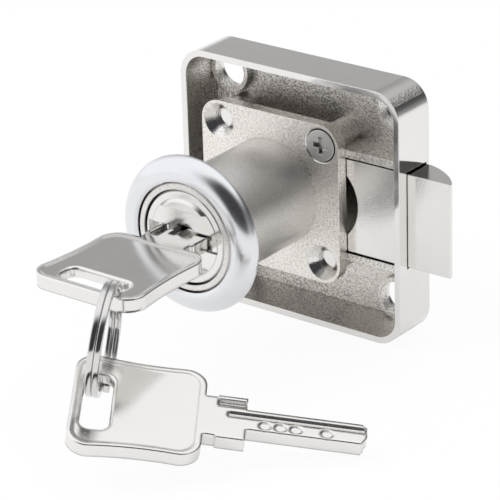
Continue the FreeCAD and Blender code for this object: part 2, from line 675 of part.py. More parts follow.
# screws: countersunk heads with a cross recess
def make_screw(label, x, z, head_y, into):
    """A countersunk screw. into is +1 when it goes along +Y and -1 when it goes along -Y."""
    body = make_body(label)
    half = make_sketch(body, f"{label}_half", "XY")
    head = "size.screw_head_dia / 2"
    shank = "size.screw_thread_dia / 2"
    rim = "size.screw_rim"
    points = [("0", "0"), (head, "0"), (head, rim), (shank, f"{rim} + {head} - {shank}"),
              (shank, "size.screw_length - 0.4"), (f"{shank} - 0.4", "size.screw_length"), ("0", "size.screw_length")]
    outline(half, points)
    revolve(body, f"{label}_turned", half, "Y")
    for name, wide, high in (("wide", "size.cross_span / 2", "size.cross_width / 2"),
                             ("tall", "size.cross_width / 2", "size.cross_span / 2")):
        cross = make_sketch(body, f"{label}_{name}_slot", "XZ", "1")
        box_outline(cross, f"-{wide}", wide, f"-{high}", high)
        pocket(body, f"{label}_{name}_recess", cross, "1 + size.cross_depth", reverse=True)
    if into < 0:
        body.Placement = FreeCAD.Placement(FreeCAD.Vector(), FreeCAD.Rotation(FreeCAD.Vector(0, 0, 1), 180))
    body.setExpression("Placement.Base.x", f"({x}) * 1mm")
    body.setExpression("Placement.Base.y", f"({head_y}) * 1mm")
    body.setExpression("Placement.Base.z", f"({z}) * 1mm")
    doc.recompute()
    return body


# rosette: domed ring on the barrel, hollow behind
def make_rosette():
    body = make_body("trim_ring")
    half = make_sketch(body, "rosette_half", "XY")
    back = f"({BARREL_END} + size.rosette_seat)"
    inner = "(size.barrel_dia / 2 + size.rosette_clear)"
    outer = "(size.rosette_dia / 2)"
    front = f"({back} - size.rosette_thick)"
    lip = f"({front} + size.barrel_lip)"
    rise = "size.rosette_rim"
    hollow = f"({back} - size.rosette_hollow)"
    points = [
        (inner, back),
        (f"{inner} + {rise}", back),
        (f"{inner} + {rise}", hollow),
        (f"{outer} - {rise}", hollow),
        (f"{outer} - {rise}", back),
        (outer, back),
        (outer, f"{back} - size.rosette_edge"),
        (f"{inner} + 0.5", front),
        (inner, lip),
    ]
    crown = (f"({inner} + {outer}) / 2 + size.rosette_crown / 2", f"({front} + {back}) / 2 - size.rosette_crown / 2")
    outline(half, points, {6: crown})
    revolve(body, "rosette_turned", half, "Y")
    return body


# key: bow with hollow sides and a raised rim, slot, shoulder tabs and a flat blade with groove and dimples.
# The key lies along +X from the bow's outer end, its face looks along +Z.
def bow_outline(sketch, inset, far_inset, corner):
    """The bow's outline drawn in by a margin: widest at the outer end and hollow along both sides."""
    far_x = f"(size.bow_length - {far_inset})"
    wide = f"(size.bow_width / 2 - {inset})"
    narrow = f"(size.bow_width / 2 - size.bow_taper - {inset})"
    turn = f"({corner}) * (1 - 0.70710678)"
    middle_x = f"({inset} + {far_x}) / 2"
    middle_y = f"(({wide} + {narrow}) / 2 - size.bow_hollow)"
    points = [
        (f"{inset} + {corner}", f"-{wide}"),
        (f"{far_x} - {corner}", f"-{narrow}"),
        (far_x, f"-{narrow} + {corner}"),
        (far_x, f"{narrow} - {corner}"),
        (f"{far_x} - {corner}", narrow),
        (f"{inset} + {corner}", wide),
        (inset, f"{wide} - {corner}"),
        (inset, f"-{wide} + {corner}"),
    ]
    bulges = {
        0: (middle_x, f"-{middle_y}"),
        1: (f"{far_x} - {turn}", f"-{narrow} + {turn}"),
        3: (f"{far_x} - {turn}", f"{narrow} - {turn}"),
        4: (middle_x, middle_y),
        5: (f"{inset} + {turn}", f"{wide} - {turn}"),
        7: (f"{inset} + {turn}", f"-{wide} + {turn}"),
    }
    outline(sketch, points, bulges)


def slot_lip(edge):
    """True for an edge of the bow's slot at the level of the recessed face."""
    box = edge.BoundBox
    level = value("size.key_thick / 2 - size.bow_recess")
    low, high = value("size.key_bar"), value("size.key_bar + size.key_slot_width")
    flat = near(box.ZMin, box.ZMax) and near(abs(box.ZMin), level)
    return flat and box.XMin > low - 0.05 and box.XMax < high + 0.05


def make_key(label):
    body = make_body(label)
    bow = make_sketch(body, f"{label}_bow", "XY")
    bow_outline(bow, "0", "0", "size.bow_corner")
    pad(body, f"{label}_bow_plate", bow, "size.key_thick", both=True)
    neck = make_sketch(body, f"{label}_neck", "XY")
    tab_start = "(size.bow_length + size.neck_length)"
    box_outline(neck, "size.bow_length - 1", f"{tab_start} + 1", "-size.neck_width / 2", "size.neck_width / 2")
    pad(body, f"{label}_neck_plate", neck, "size.key_thick", both=True)
    tabs = make_sketch(body, f"{label}_tabs", "XY")
    box_outline(tabs, tab_start, TAB_END, "-size.tab_width / 2", "size.tab_width / 2")
    pad(body, f"{label}_tab_plate", tabs, "size.key_thick", both=True)
    blade = make_sketch(body, f"{label}_blade", "XY")
    end = f"({TAB_END} + {BLADE})"
    side = "size.blade_width / 2"
    outline(blade, [(f"{TAB_END} - 1", f"-{side}"), (f"{end} - size.blade_bevel / 2", f"-{side}"),
                    (end, f"-{side} + size.blade_bevel"), (end, f"{side} - size.blade_bevel / 2"),
                    (f"{end} - size.blade_bevel / 2", side), (f"{TAB_END} - 1", side)])
    pad(body, f"{label}_blade_plate", blade, "size.key_thick", both=True)
    for face, above in (("front", True), ("back", False)):
        height = "size.key_thick / 2 + 1" if above else "-size.key_thick / 2 - 1"
        flip = "" if above else "-"
        panel = make_sketch(body, f"{label}_{face}_panel", "XY", height)
        bow_outline(panel, "size.bow_rim", "size.bow_rim_far", "size.bow_rim_corner")
        pocket(body, f"{label}_{face}_recess", panel, "1 + size.bow_recess", reverse=above)
        cut = make_sketch(body, f"{label}_{face}_groove", "XY", height)
        low = f"{flip}(size.blade_width / 2 - size.groove_edge - size.groove_width)"
        high = f"{flip}(size.blade_width / 2 - size.groove_edge)"
        box_outline(cut, f"{TAB_END} - size.groove_run_in", f"{end} + 1", low, high)
        pocket(body, f"{label}_{face}_channel", cut, "1 + size.groove_depth", reverse=above)
        notch = make_sketch(body, f"{label}_{face}_tab_groove", "XY", height)
        low = f"{flip}(size.tab_width / 2 - size.tab_groove_edge - size.tab_groove_width)"
        high = f"{flip}(size.tab_width / 2 - size.tab_groove_edge)"
        box_outline(notch, tab_start, f"{TAB_END} + 1", low, high)
        pocket(body, f"{label}_{face}_tab_channel", notch, "1 + size.tab_groove_depth", reverse=above)
        dots = make_sketch(body, f"{label}_{face}_dots", "XY", height)
        for index in (0, 1, 2, 4):
            disc(dots, f"{TAB_END} + size.pin_first + {index} * size.pin_pitch",
                 f"{flip}(-size.blade_width / 2 + size.dimple_dia / 2 + 0.35)", "size.dimple_dia")
        pocket(body, f"{label}_{face}_dimples", dots, "1 + size.dimple_depth", reverse=above)
    slot = make_sketch(body, f"{label}_slot", "XY")
    rounded_box(slot, "size.key_bar", "(size.key_bar + size.key_slot_width)", "-size.key_slot_length / 2",
                "size.key_slot_length / 2", "size.key_slot_corner")
    pocket(body, f"{label}_slot_hole", slot, "size.key_thick + 2", both=True)
    dress(body, "Fillet", f"{label}_slot_lips", "size.slot_edge", slot_lip)
    return body


def place_inserted(key):
    """Blade into the lock, face up: the key's length runs along +Y."""
    turn = FreeCAD.Rotation(FreeCAD.Vector(0, 0, 1), 90)
    key.Placement = FreeCAD.Placement(FreeCAD.Vector(0, value(KEY_START), 0), turn)
    key.setExpression("Placement.Base.y", f"{KEY_START} * 1mm")


def ring_frame():
    """The split ring's centre, the level and the upward way in its plane, its axis and its place on the bar."""
    yaw = math.radians(value("size.ring_yaw"))
    tilt = math.radians(value("size.ring_tilt"))
    forward = FreeCAD.Vector(math.sin(yaw), -math.cos(yaw), 0)
    side = FreeCAD.Vector(math.cos(yaw), math.sin(yaw), 0)
    above = FreeCAD.Vector(0, 0, 1)
    up = above * math.cos(tilt) + side * math.sin(tilt)
    axis = side * math.cos(tilt) - above * math.sin(tilt)
    bar = FreeCAD.Vector(value("size.ring_along_bar"), value(f"{KEY_START} + size.key_bar / 2"), 0)
    centre = bar + forward * value("size.ring_forward") - up * value("size.ring_drop")
    return centre, forward, up, axis, bar


def make_ring():
    """Two turns of flat wire side by side."""
    wide = value("size.ring_wire_wide")
    deep = value("size.ring_wire_deep")
    radius = value("size.ring_dia") / 2
    pitch = wide + value("size.ring_turn_gap")
    path = Part.makeHelix(pitch, 2 * pitch, radius)
    corners = [(-deep / 2, -wide / 2), (deep / 2, -wide / 2), (deep / 2, wide / 2), (-deep / 2, wide / 2)]
    spots = [FreeCAD.Vector(radius + a, 0, b) for a, b in corners]
    section = Part.makePolygon(spots + spots[:1])
    coil = sweep(path, section)
    centre, forward, up, axis, bar = ring_frame()
    turn = FreeCAD.Rotation(forward, FreeCAD.Vector(), axis, "ZXY")
    start = FreeCAD.Rotation(FreeCAD.Vector(0, 0, 1), value("size.ring_start"))
    place = FreeCAD.Placement(centre - axis * pitch, turn * start)
    return make_feature("key_ring", coil, place)


def place_spare(key):
    """Hangs the spare key by the end of its slot inside the ring's lowest stretch."""
    centre, forward, up, axis, bar = ring_frame()
    inward = forward * value("size.spare_back") + axis * value("size.spare_side") + up * value("size.spare_drop")
    held = centre - inward
    turn = FreeCAD.Rotation(value("size.spare_yaw"), value("size.spare_dip"), value("size.spare_roll"))
    strip_x = value("size.key_bar + size.key_slot_width / 2")
    strip_y = value("(size.key_slot_length / 2 + size.bow_width / 2) / 2")
    key.Placement = FreeCAD.Placement(held - turn.multVec(FreeCAD.Vector(strip_x, strip_y, 0)), turn)
    print("ring centre", centre, "ring axis", axis, "bar", bar, "strip", held)


def make_latch_spring():
    wire = value("size.spring_wire")
    rise = value("size.spring_length") - wire - 2 * value("size.turn_clear")
    coil = helix_wire((value(SPRING_DIA) - wire) / 2, rise, value("size.spring_turns"), wire)
    start = value(PEG_RIGHT) + wire / 2 + value("size.turn_clear")
    place = FreeCAD.Placement(FreeCAD.Vector(start, value(SPRING_Y), -value("size.spring_drop")),
                              FreeCAD.Rotation(FreeCAD.Vector(0, 1, 0), 90))
    return make_feature("bolt_spring", coil, place)


pieces = [make_case(), make_housing(), make_plug(), make_cam(), make_bolt()]
pieces += make_pins()
pieces.append(make_cover())
pieces.append(make_screw("housing_screw_1", PLATE_HOLE, PLATE_HOLE, "0", 1))
pieces.append(make_screw("housing_screw_2", f"-{PLATE_HOLE}", f"-{PLATE_HOLE}", "0", 1))
pieces.append(make_screw("cam_screw", "0", "0", CAM_BACK, -1))
pieces.append(make_rosette())
inserted = make_key("key_inserted")
place_inserted(inserted)
spare = make_key("key_spare")
place_spare(spare)
pieces += [inserted, spare, make_ring(), make_latch_spring()]

doc.recompute()
for thing in doc.Objects:
    if "Invalid" in thing.State or "Error" in thing.State:
        raise ValueError(f"{thing.Name} failed: {thing.State}")
os.makedirs("parts", exist_ok=True)
for piece in pieces:
    shape = piece.Shape
    if shape.isNull() or not shape.isValid() or not shape.Solids:
        raise ValueError(f"{piece.Label} has no valid solid")
    shape.exportStep(f"parts/{piece.Label}.step")
    print(piece.Label, len(shape.Solids), round(shape.Volume, 1))
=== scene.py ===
import json
import math

import bpy
from bpy.props import FloatProperty, FloatVectorProperty, IntProperty, PointerProperty
from mathutils import Euler, Matrix, Vector


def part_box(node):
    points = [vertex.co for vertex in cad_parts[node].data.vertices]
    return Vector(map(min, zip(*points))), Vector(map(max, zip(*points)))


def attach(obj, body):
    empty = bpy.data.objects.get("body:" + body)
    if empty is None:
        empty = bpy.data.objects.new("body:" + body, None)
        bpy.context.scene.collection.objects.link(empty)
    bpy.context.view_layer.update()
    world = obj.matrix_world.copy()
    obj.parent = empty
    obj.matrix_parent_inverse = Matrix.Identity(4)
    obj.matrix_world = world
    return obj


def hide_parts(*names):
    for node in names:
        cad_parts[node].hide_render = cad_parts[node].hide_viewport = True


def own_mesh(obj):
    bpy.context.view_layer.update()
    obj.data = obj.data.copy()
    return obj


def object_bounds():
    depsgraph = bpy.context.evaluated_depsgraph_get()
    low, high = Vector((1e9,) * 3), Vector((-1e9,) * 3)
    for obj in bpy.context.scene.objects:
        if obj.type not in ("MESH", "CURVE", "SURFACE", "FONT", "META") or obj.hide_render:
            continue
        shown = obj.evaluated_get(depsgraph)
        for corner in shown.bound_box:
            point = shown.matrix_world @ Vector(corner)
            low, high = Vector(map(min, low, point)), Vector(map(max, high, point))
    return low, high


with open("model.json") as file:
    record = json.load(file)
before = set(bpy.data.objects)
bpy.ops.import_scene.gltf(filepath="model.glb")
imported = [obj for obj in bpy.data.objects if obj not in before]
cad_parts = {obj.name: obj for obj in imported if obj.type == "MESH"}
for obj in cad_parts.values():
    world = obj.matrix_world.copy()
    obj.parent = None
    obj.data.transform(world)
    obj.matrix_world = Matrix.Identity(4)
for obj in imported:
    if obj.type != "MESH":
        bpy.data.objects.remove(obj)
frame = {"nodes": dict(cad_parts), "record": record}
CAD_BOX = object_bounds()
NODES = frame["nodes"]
JOINTS = {joint["name"]: joint for joint in frame["record"]["behaviour"]["joints"]}

bl_info = {
    "name": "Drawer Lock Finishes",
    "version": (1, 0, 0),
    "blender": (4, 5, 0),
    "location": "View3D > Sidebar > Drawer Lock",
    "description": "Nickel, chrome and brass finishes, coils and a stage for a drawer lock with two keys",
    "category": "Object",
}

MM = 0.001
CASE_CENTRE = 4.0 * MM
TRAY_REACH = 21.6 * MM
TRAY_FRONT = 0.15 * MM
TRAY_BACK = 8.3 * MM
PLATE_HOLE = 10.6 * MM
PLATE_FRONT = -0.2 * MM
SINK_FRONT = -0.3 * MM
SINK_RADIUS = 3.15 * MM
POST_RADIUS = 2.2 * MM
SPRING_CLEAR = 0.15 * MM
PIN_SPRING_TURNS = 3.5
RING_TURNS = 2
RING_GAP = 0.05 * MM
RING_EDGE = 0.2 * MM
MIRROR_GLOSS = 0.08
KEY_NODES = ("key_inserted", "key_spare")
PIN_NODES = tuple(f"{kind}_pin_{k}" for kind in ("key", "driver") for k in range(1, 6))
PIN_SPRINGS = tuple(f"pin_spring_{k}" for k in range(1, 6))
SCREW_NODES = ("housing_screw_1", "housing_screw_2", "cam_screw")

# the photograph's camera: its right, its upright, the way back from what it looks at, and its place in metres
CAMERA_RIGHT = Vector((0.7959, 0.6047, -0.0274))
CAMERA_UP = Vector((-0.2229, 0.3349, 0.9156))
CAMERA_BACK = Vector((0.5629, -0.7226, 0.4013))
CAMERA_PLACE = Vector((289.6, -377.9, 197.9)) * MM
# the studio's dark side and its bright side
BACK_RIGHT = Vector((0.74, 0.67, 0))
LEFT = Vector((-0.85, -0.38, 0.36))


class LockFinishes(bpy.types.PropertyGroup):
    """Colours and surface sizes of the lock's plated metals."""

    nickel: FloatVectorProperty(name="Nickel", description="Colour of the nickel plating", subtype="COLOR",
                                size=3, min=0, max=1, default=(0.83, 0.815, 0.795))
    warm_nickel: FloatVectorProperty(name="Warm nickel", description="Colour of the nickel on the housing",
                                     subtype="COLOR", size=3, min=0, max=1, default=(0.88, 0.86, 0.835))
    chrome: FloatVectorProperty(name="Chrome", description="Colour of the rosette's chrome", subtype="COLOR",
                                size=3, min=0, max=1, default=(0.79, 0.80, 0.82))
    steel: FloatVectorProperty(name="Steel", description="Colour of the wire and the cam", subtype="COLOR",
                               size=3, min=0, max=1, default=(0.70, 0.69, 0.68))
    brass: FloatVectorProperty(name="Brass", description="Colour of the cylinder's pins", subtype="COLOR",
                               size=3, min=0, max=1, default=(0.80, 0.60, 0.29))
    grain: FloatProperty(name="Cast grain", description="Size of the cast surface's grains", unit="LENGTH",
                         min=0.00005, max=0.002, default=0.00034)
    grain_depth: FloatProperty(name="Grain depth", description="Height of the cast surface's grains",
                               unit="LENGTH", min=0, max=0.0005, default=0.00011)
    edge: FloatProperty(name="Edge round", description="Radius that polishing leaves on the edges",
                        unit="LENGTH", min=0, max=0.001, default=0.00022)
    key_edge: FloatProperty(name="Key edge round", description="Radius of the keys' tumbled edges",
                            unit="LENGTH", min=0, max=0.002, default=0.0008)
    # crevice reach: how far the painted shade in crevices and gaps reaches, an ambient occlusion darkening of
    # the colour
    crevice: FloatProperty(name="Crevice reach", description="How far the dull film in the crevices reaches",
                           unit="LENGTH", min=0, max=0.005, default=0.0011)


class LockCoils(bpy.types.PropertyGroup):
    """Sizes of the split ring and the springs."""

    ring_radius: FloatProperty(name="Ring radius", description="From the split ring's centre to its wire",
                               unit="LENGTH", min=0.005, max=0.02, default=0.0087)
    ring_wide: FloatProperty(name="Ring wire width", description="Ring wire along the ring's axis",
                             unit="LENGTH", min=0.0003, max=0.002, default=0.0010)
    ring_deep: FloatProperty(name="Ring wire depth", description="Ring wire from inside to outside",
                             unit="LENGTH", min=0.0003, max=0.003, default=0.0012)
    latch_turns: IntProperty(name="Latch spring turns", description="Turns of the latch's spring",
                             min=4, max=20, default=11)
    latch_wire: FloatProperty(name="Latch spring wire", description="Thickness of the latch spring's wire",
                              unit="LENGTH", min=0.0001, max=0.001, default=0.00035)
    pin_wire: FloatProperty(name="Pin spring wire", description="Thickness of the pin springs' wire",
                            unit="LENGTH", min=0.0001, max=0.0005, default=0.00022)


class LockStage(bpy.types.PropertyGroup):
    """Light and floor."""

    key_light: FloatProperty(name="Key light", description="Power of the large soft lamp", unit="POWER",
                             min=0, max=100, default=2.2)
    sky: FloatProperty(name="Surroundings", description="Strength of the studio round the lock",
                       min=0, max=5, default=1.15)
    lens: FloatProperty(name="Lens", description="Focal length in millimetres", min=35, max=400,
                        default=219.57)


class Value:
    """A node's output. Arithmetic on it adds Math nodes."""

    def __init__(self, tree, socket):
        self.tree = tree
        self.socket = socket

    def maths(self, operation, *values):
        return self.tree.node("ShaderNodeMath", {"operation": operation}, *values)

    def __add__(self, other):
        return self.maths("ADD", self, other)

    def __sub__(self, other):
        return self.maths("SUBTRACT", self, other)

    def __rsub__(self, other):
        return self.maths("SUBTRACT", other, self)

    def __mul__(self, other):
        return self.maths("MULTIPLY", self, other)

    def __gt__(self, other):
        return self.maths("GREATER_THAN", self, other)

    def __lt__(self, other):
        return self.maths("LESS_THAN", self, other)

    def __abs__(self):
        return self.maths("ABSOLUTE", self)

    __radd__ = __add__
    __rmul__ = __mul__


class Tree:
    """The nodes of one material or world."""

    def __init__(self, owner):
        owner.use_nodes = True
        self.nodes = owner.node_tree.nodes
        self.links = owner.node_tree.links
        self.nodes.clear()

    def node(self, kind, settings=None, *values, pick=0, **named):
        """Adds a node, sets it, then feeds its sockets by place or by name, and gives one output."""
        node = self.nodes.new(kind)
        settings = dict(settings or {})
        stops = settings.pop("stops", None)
        for name, setting in settings.items():
            setattr(node, name, setting)
        if stops:
            elements = node.color_ramp.elements
            while len(elements) < len(stops):
                elements.new(0.5)
            for element, (position, shade) in zip(elements, stops):
                element.position = position
                element.color = shade if len(shade) == 4 else (*shade, 1)
        for socket, value in zip(node.inputs, values):
            self.feed(socket, value)
        for name, value in named.items():
            self.feed(node.inputs[name.replace("_", " ")], value)
        return Value(self, node.outputs[pick]) if node.outputs else None

    def feed(self, socket, value):
        if isinstance(value, Value):
            self.links.new(value.socket, socket)
        elif value is not None:
            socket.default_value = value

    def axes(self):
        """The piece's own coordinates as three values in metres, and the vector itself."""
        place = self.node("ShaderNodeTexCoord", pick=3)
        split = self.node("ShaderNodeSeparateXYZ", None, place)
        outputs = split.socket.node.outputs
        return place, Value(self, outputs[0]), Value(self, outputs[1]), Value(self, outputs[2])

    def noise(self, place, size, detail=2.0, roughness=0.5, stretch=None):
        """Noise from 0 to 1 whose blotches are about this size in metres."""
        if stretch:
            place = self.node("ShaderNodeMapping", None, place, Scale=stretch)
        return self.node("ShaderNodeTexNoise", {"noise_dimensions": "3D"}, place, Scale=1 / size,
                         Detail=detail, Roughness=roughness)

    def rise(self, value, low, high):
        """0 below low, 1 above high, smooth between."""
        return self.node("ShaderNodeMapRange", {"interpolation_type": "SMOOTHSTEP"}, value, low, high)

    def towards(self, way, target):
        """How closely a direction points to the target, as a cosine."""
        return self.node("ShaderNodeVectorMath", {"operation": "DOT_PRODUCT"}, way, tuple(target), pick=1)

    def blend(self, mask, low, high):
        """low where the mask is 0, high where it is 1, for colours."""
        node = self.nodes.new("ShaderNodeMix")
        node.data_type = "RGBA"
        for socket, value in ((node.inputs[0], mask), (node.inputs[6], low), (node.inputs[7], high)):
            self.feed(socket, value)
        return Value(self, node.outputs[2])


def shaded(colour, factor):
    return tuple(min(1.0, part * factor) for part in colour[:3]) + (1,)


def plated(name, tint, gloss, cast_where=None, cast_dark=0.62, bright_where=None, ripple=0.000003,
           grit=0.0000006, flecks=0.0, edge=None, marks=None):
    """Plated metal: polished, with a fine grit, and with a warmer cast grain where cast_where says.

    bright_where gives mirror polish, flecks darkens fine spots, marks adds fine lines to the bump and
    edge is the radius that the edges seem rounded to. Crevices get painted shade: ambient occlusion
    darkens their colour to a dim warm brown.
    """
    look = bpy.context.scene.lock_finishes
    material = bpy.data.materials.new(name)
    tree = Tree(material)
    place, x, y, z = tree.axes()
    cast = cast_where(x, y, z) if cast_where else None
    cloud = tree.noise(place, 0.006, detail=3)
    fine = tree.noise(place, 0.00022, detail=2)
    polish = gloss * 0.8 + cloud * (gloss * 0.4)
    height = tree.noise(place, 0.0022, detail=1) * ripple + fine * grit
    colour = tree.blend(cloud, shaded(tint, 0.96), shaded(tint, 1.03))
    if flecks:
        colour = tree.blend(tree.rise(fine, 0.35, 0.60), shaded(tint, 1 - flecks), colour)
    if marks:
        height = height + marks(tree, place, x, y, z)
    if cast:
        grains = tree.noise(place, look.grain, detail=3, roughness=0.7)
        spots = tree.noise(place, look.grain * 2.6, detail=1)
        height = height * (1 - cast) + (grains * look.grain_depth + spots * (look.grain_depth * 0.6)) * cast
        polish = polish * (1 - cast) + (grains * 0.14 + 0.17) * cast
        warm = (tint[0], tint[1] * 0.98, tint[2] * 0.955)
        patches = tree.rise(tree.noise(place, 0.009, detail=2), 0.38, 0.60)
        pits = tree.blend(patches, shaded(warm, (1 + cast_dark) / 2), shaded(warm, cast_dark))
        colour = tree.blend(cast, colour, tree.blend(tree.rise(grains, 0.38, 0.56), pits, shaded(warm, 1.04)))
    if bright_where:
        bright = bright_where(x, y, z)
        polish = polish * (1 - bright) + bright * MIRROR_GLOSS
    # painted shade: ambient occlusion darkens the colour in crevices and gaps towards a dim warm brown
    open_air = tree.node("ShaderNodeAmbientOcclusion", {"samples": 6}, None, look.crevice, pick=1)
    painted_shade = shaded((tint[0], tint[1] * 0.88, tint[2] * 0.78), 0.25)
    colour = tree.blend(tree.rise(open_air, 0.05, 0.60), painted_shade, colour)
    rounded = tree.node("ShaderNodeBevel", {"samples": 16 if edge else 4}, edge or look.edge)
    bumped = tree.node("ShaderNodeBump", None, Strength=1.0, Distance=1.0, Height=height, Normal=rounded)
    surface = tree.node("ShaderNodeBsdfPrincipled", None, Base_Color=colour, Metallic=1.0, Roughness=polish,
                        Normal=bumped)
    tree.node("ShaderNodeOutputMaterial", None, surface)
    return material


def away_from_holes(x, z, radius):
    """1 except this near to the middle of one of the plate's four holes."""
    across = abs(x) - PLATE_HOLE
    upright = abs(z) - PLATE_HOLE
    return across * across + upright * upright > radius * radius


def wear(node, material):
    """Gives a CAD node its finish."""
    piece = NODES[node]
    piece.data.materials.clear()
    piece.data.materials.append(material)


class DRAWER_LOCK_OT_case(bpy.types.Operator):
    """Finishes the case: mirror bright outside, cast and grainy inside"""

    bl_idname = "drawer_lock.case"
    bl_label = "Case"

    def execute(self, context):
        def tray(x, y, z):
            across = abs(x - CASE_CENTRE) < TRAY_REACH
            upright = abs(z) < TRAY_REACH
            return across * upright * (y > TRAY_FRONT) * (y < TRAY_BACK) * away_from_holes(x, z, POST_RADIUS)

        nickel = context.scene.lock_finishes.nickel
        wear("lock_case", plated("case_nickel", nickel, 0.075, cast_where=tray, cast_dark=0.5,
                                 ripple=0.000006))
        return {"FINISHED"}


class DRAWER_LOCK_OT_housing(bpy.types.Operator):
    """Finishes the cylinder housing: grainy plate, satin barrel, and the strip over the pin chambers"""

    bl_idname = "drawer_lock.housing"
    bl_label = "Cylinder housing"

    def execute(self, context):
        def plate_face(x, y, z):
            return (y > PLATE_FRONT) * away_from_holes(x, z, SINK_RADIUS)

        def sinks(x, y, z):
            return (y > SINK_FRONT) * (1 - away_from_holes(x, z, SINK_RADIUS))

        def turning(tree, place, x, y, z):
            return tree.noise(place, 0.0012, detail=2, stretch=(0.15, 9, 0.15)) * 0.000002

        metal = plated("housing_nickel", context.scene.lock_finishes.warm_nickel, 0.40, cast_where=plate_face,
                       cast_dark=0.66, bright_where=sinks, ripple=0, grit=0.00003, flecks=0.20, marks=turning)
        wear("cylinder_housing", metal)
        wear("pin_cover", metal)
        return {"FINISHED"}


class DRAWER_LOCK_OT_rosette(bpy.types.Operator):
    """Finishes the domed rosette in bright chrome"""

    bl_idname = "drawer_lock.rosette"
    bl_label = "Rosette"

    def execute(self, context):
        wear("trim_ring", plated("rosette_chrome", context.scene.lock_finishes.chrome, 0.20, ripple=0))
        return {"FINISHED"}


class DRAWER_LOCK_OT_plug(bpy.types.Operator):
    """Finishes the plug with the milling marks of its face"""

    bl_idname = "drawer_lock.plug"
    bl_label = "Plug"

    def execute(self, context):
        def milling(tree, place, x, y, z):
            return tree.noise(place, 0.0006, detail=2, stretch=(0.08, 1, 3)) * 0.000008

        wear("plug", plated("plug_nickel", context.scene.lock_finishes.nickel, 0.18, marks=milling))
        return {"FINISHED"}


class DRAWER_LOCK_OT_latch(bpy.types.Operator):
    """Finishes the latch in bright nickel"""

    bl_idname = "drawer_lock.latch"
    bl_label = "Latch"

    def execute(self, context):
        wear("latch_bolt", plated("bolt_nickel", context.scene.lock_finishes.nickel, 0.11, grit=0.00002))
        return {"FINISHED"}


class DRAWER_LOCK_OT_cam(bpy.types.Operator):
    """Finishes the cam in dull cast zinc"""

    bl_idname = "drawer_lock.cam"
    bl_label = "Cam"

    def execute(self, context):
        def all_over(x, y, z):
            return x > -1.0

        wear("cam", plated("cam_zinc", context.scene.lock_finishes.steel, 0.3, cast_where=all_over))
        return {"FINISHED"}


class DRAWER_LOCK_OT_screws(bpy.types.Operator):
    """Finishes the three countersunk screws"""

    bl_idname = "drawer_lock.screws"
    bl_label = "Screws"

    def execute(self, context):
        metal = plated("screw_nickel", context.scene.lock_finishes.nickel, 0.42, grit=0.00002)
        for node in SCREW_NODES:
            wear(node, metal)
        return {"FINISHED"}


class DRAWER_LOCK_OT_pins(bpy.types.Operator):
    """Finishes the key pins and driver pins in turned brass"""

    bl_idname = "drawer_lock.pins"
    bl_label = "Pins"

    def execute(self, context):
        def turning(tree, place, x, y, z):
            return tree.noise(place, 0.0004, detail=1, stretch=(0.1, 0.1, 6)) * 0.000004

        metal = plated("pin_brass", context.scene.lock_finishes.brass, 0.2, marks=turning)
        for node in PIN_NODES:
            wear(node, metal)
        return {"FINISHED"}


class DRAWER_LOCK_OT_keys(bpy.types.Operator):
    """Finishes the two keys in bright nickel"""

    bl_idname = "drawer_lock.keys"
    bl_label = "Keys"

    def execute(self, context):
        look = context.scene.lock_finishes
        metal = plated("key_nickel", look.nickel, 0.15, ripple=0.000004, grit=0.000003, edge=look.key_edge)
        for node in KEY_NODES:
            wear(node, metal)
        return {"FINISHED"}


def coil_tree(name, flat_wire):
    """Geometry nodes for wire wound along +Z: a spiral, swept by a round or a flat section."""
    tree = bpy.data.node_groups.new(name, "GeometryNodeTree")
    inputs = {}
    for label, kind in (("Radius", "Float"), ("Rise", "Float"), ("Turns", "Float"), ("Wire Width", "Float"),
                        ("Wire Depth", "Float"), ("Edge Round", "Float"), ("Turn", "Rotation"),
                        ("Place", "Vector"), ("Material", "Material")):
        inputs[label] = tree.interface.new_socket(label, in_out="INPUT", socket_type=f"NodeSocket{kind}")
    tree.interface.new_socket("Geometry", in_out="OUTPUT", socket_type="NodeSocketGeometry")
    group_in = tree.nodes.new("NodeGroupInput")
    group_out = tree.nodes.new("NodeGroupOutput")

    def add(kind, feeds, **settings):
        node = tree.nodes.new(kind)
        for key, setting in settings.items():
            setattr(node, key, setting)
        for socket, source in feeds.items():
            if isinstance(source, bpy.types.NodeSocket):
                tree.links.new(source, node.inputs[socket])
            else:
                node.inputs[socket].default_value = source
        return node

    ports = group_in.outputs
    steps = 72 if flat_wire else 20
    spiral = add("GeometryNodeCurveSpiral", {"Resolution": steps, "Rotations": ports["Turns"],
                                             "Start Radius": ports["Radius"], "End Radius": ports["Radius"],
                                             "Height": ports["Rise"]})
    upright = add("GeometryNodeSetCurveNormal", {"Curve": spiral.outputs[0]}, mode="Z_UP")
    if flat_wire:
        flat = add("GeometryNodeCurvePrimitiveQuadrilateral", {"Width": ports["Wire Depth"],
                                                               "Height": ports["Wire Width"]})
        section = add("GeometryNodeFilletCurve", {"Curve": flat.outputs[0], "Radius": ports["Edge Round"],
                                                  "Count": 4}, mode="POLY")
    else:
        half = add("ShaderNodeMath", {0: ports["Wire Width"], 1: 0.5}, operation="MULTIPLY")
        section = add("GeometryNodeCurvePrimitiveCircle", {"Resolution": 10, "Radius": half.outputs[0]})
    swept = add("GeometryNodeCurveToMesh", {"Curve": upright.outputs[0], "Profile Curve": section.outputs[0],
                                            "Fill Caps": True})
    smooth = add("GeometryNodeSetShadeSmooth", {0: swept.outputs[0]})
    moved = add("GeometryNodeTransform", {"Geometry": smooth.outputs[0], "Translation": ports["Place"],
                                          "Rotation": ports["Turn"]})
    real = add("GeometryNodeRealizeInstances", {0: moved.outputs[0]})
    worn = add("GeometryNodeSetMaterial", {"Geometry": real.outputs[0], "Material": ports["Material"]})
    tree.links.new(worn.outputs[0], group_out.inputs[0])
    return tree, inputs


